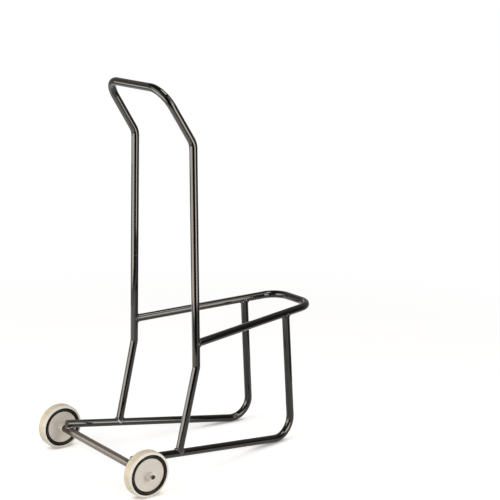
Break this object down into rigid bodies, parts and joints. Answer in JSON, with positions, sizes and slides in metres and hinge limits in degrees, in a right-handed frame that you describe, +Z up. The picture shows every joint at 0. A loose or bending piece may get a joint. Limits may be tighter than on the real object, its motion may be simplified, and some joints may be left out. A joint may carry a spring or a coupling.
{
  "type": "stacking chair trolley",
  "caption": "Hand trolley of bent black tube for moving a stack of chairs, with a tall push handle, sloping base rails, a tapering support loop and pale solid tyres.",
  "frame": {"origin": "on the floor, under the middle of the outline", "axes": "+X to the trolley's right, +Y forward from the wheels to the front of the support loop, +Z up"},
  "size_m": [0.5256, 0.7521, 1.0751],
  "materials": {
    "frame_enamel": "gloss black stoved enamel",
    "axle_enamel": "gloss taupe enamel",
    "rod_steel": "drawn bright steel",
    "washer_steel": "zinc plated",
    "plug_plastic": "moulded dark grey plastic",
    "collar_plastic": "moulded black nylon",
    "cap_plastic": "moulded black plastic",
    "tyre_rubber": "cream non-marking rubber",
    "rim_plastic": "moulded black plastic",
    "disc_plastic": "moulded warm grey plastic",
    "bush_plastic": "natural nylon"
  },
  "bodies": {
    "frame": {"push_frame": "frame_enamel", "support_loop": "frame_enamel", "left_rail": "frame_enamel", "right_rail": "frame_enamel", "left_rail_plug": "plug_plastic", "right_rail_plug": "plug_plastic", "axle_tube": "axle_enamel", "axle_rod": "rod_steel", "left_axle_collar": "collar_plastic", "right_axle_collar": "collar_plastic", "left_inner_washer": "washer_steel", "right_inner_washer": "washer_steel", "left_outer_washer": "washer_steel", "right_outer_washer": "washer_steel", "left_axle_cap": "cap_plastic", "right_axle_cap": "cap_plastic"},
    "left_wheel": {"left_tyre": "tyre_rubber", "left_rim": "rim_plastic", "left_disc": "disc_plastic", "left_bush": "bush_plastic"},
    "right_wheel": {"right_tyre": "tyre_rubber", "right_rim": "rim_plastic", "right_disc": "disc_plastic", "right_bush": "bush_plastic"}
  },
  "joints": [
    {"name": "left_wheel_spin", "type": "hinge", "parent": "frame", "child": "left_wheel", "pos_m": [-0.229, -0.3125, 0.0635], "axis": [1, 0, 0], "continuous": true},
    {"name": "right_wheel_spin", "type": "hinge", "parent": "frame", "child": "right_wheel", "pos_m": [0.229, -0.3125, 0.0635], "axis": [1, 0, 0], "continuous": true}
  ]
}
